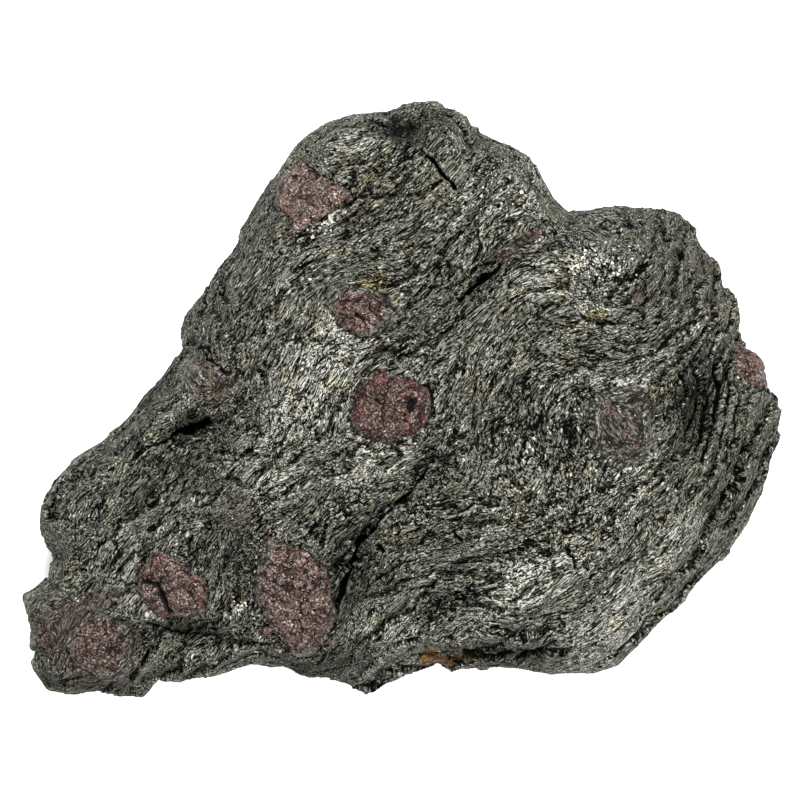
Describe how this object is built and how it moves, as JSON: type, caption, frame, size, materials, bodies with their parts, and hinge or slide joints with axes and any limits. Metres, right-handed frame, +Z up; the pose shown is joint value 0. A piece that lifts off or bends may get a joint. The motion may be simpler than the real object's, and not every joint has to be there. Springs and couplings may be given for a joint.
{
  "type": "garnet in schist matrix specimen",
  "caption": "Wedge-shaped hand specimen of dark grey-green mica and chlorite schist with red garnet crystals set in its foliated face, resting on a flat back",
  "frame": {"origin": "centre of the bounding box in plan, on the surface that the specimen rests on", "axes": "+X along the longest extent towards the blunt end, +Y across the face, +Z up out of the face that carries the crystals"},
  "size_m": [0.1, 0.0788, 0.0315],
  "materials": {
    "schist": "rough, fine mica sheen",
    "garnet_red": "broken crystal, part vitreous",
    "garnet_brown": "broken crystal, dull, mica coated"
  },
  "bodies": {
    "root": {"matrix": "schist", "garnet_top_left": "garnet_red", "garnet_centre": "garnet_red", "garnet_lower_middle": "garnet_red", "garnet_satellite": "garnet_red", "garnet_lower_left": "garnet_red", "garnet_corner": "garnet_red", "garnet_ridge": "garnet_red", "garnet_left_chip": "garnet_red", "garnet_right_edge": "garnet_red", "garnet_back_a": "garnet_red", "garnet_back_b": "garnet_red", "garnet_upper_middle": "garnet_brown", "garnet_veiled": "garnet_brown", "garnet_corner_west": "garnet_brown", "garnet_left_notch": "garnet_brown"}
  },
  "joints": []
}
